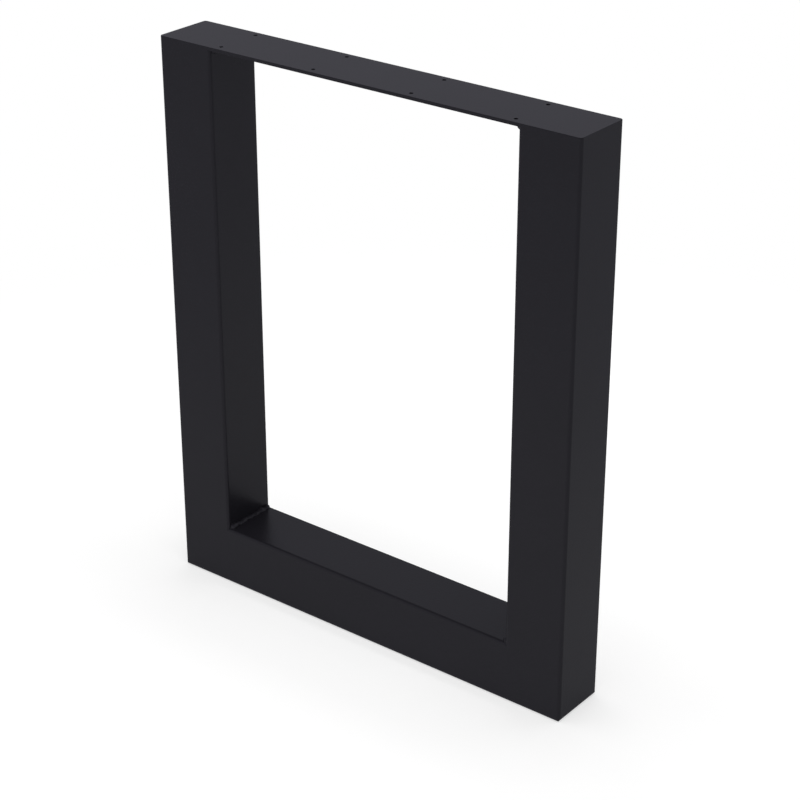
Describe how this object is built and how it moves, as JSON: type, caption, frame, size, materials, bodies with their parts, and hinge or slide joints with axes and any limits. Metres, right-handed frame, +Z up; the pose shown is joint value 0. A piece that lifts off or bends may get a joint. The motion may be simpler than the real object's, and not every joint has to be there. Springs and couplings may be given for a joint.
{
  "type": "u shaped table leg",
  "caption": "Welded square-tube table leg: two uprights on a floor rail, with a drilled flat plate across the top.",
  "frame": {"origin": "on the floor under the middle of the bottom rail, at the centre of its footprint", "axes": "+X along the width of the frame, -Y towards the front face, +Z up to the tabletop"},
  "size_m": [0.6, 0.08, 0.725],
  "materials": {
    "tube_coating": "satin black powder coat on drawn steel tube",
    "plate_coating": "satin black powder coat on flat steel",
    "weld_coating": "satin black powder coat over rippled weld beads"
  },
  "bodies": {
    "root": {"left_upright": "tube_coating", "right_upright": "tube_coating", "bottom_rail": "tube_coating", "top_plate": "plate_coating", "weld_bottom_left": "weld_coating", "weld_bottom_right": "weld_coating", "weld_top_left": "weld_coating", "weld_top_right": "weld_coating"}
  },
  "joints": []
}
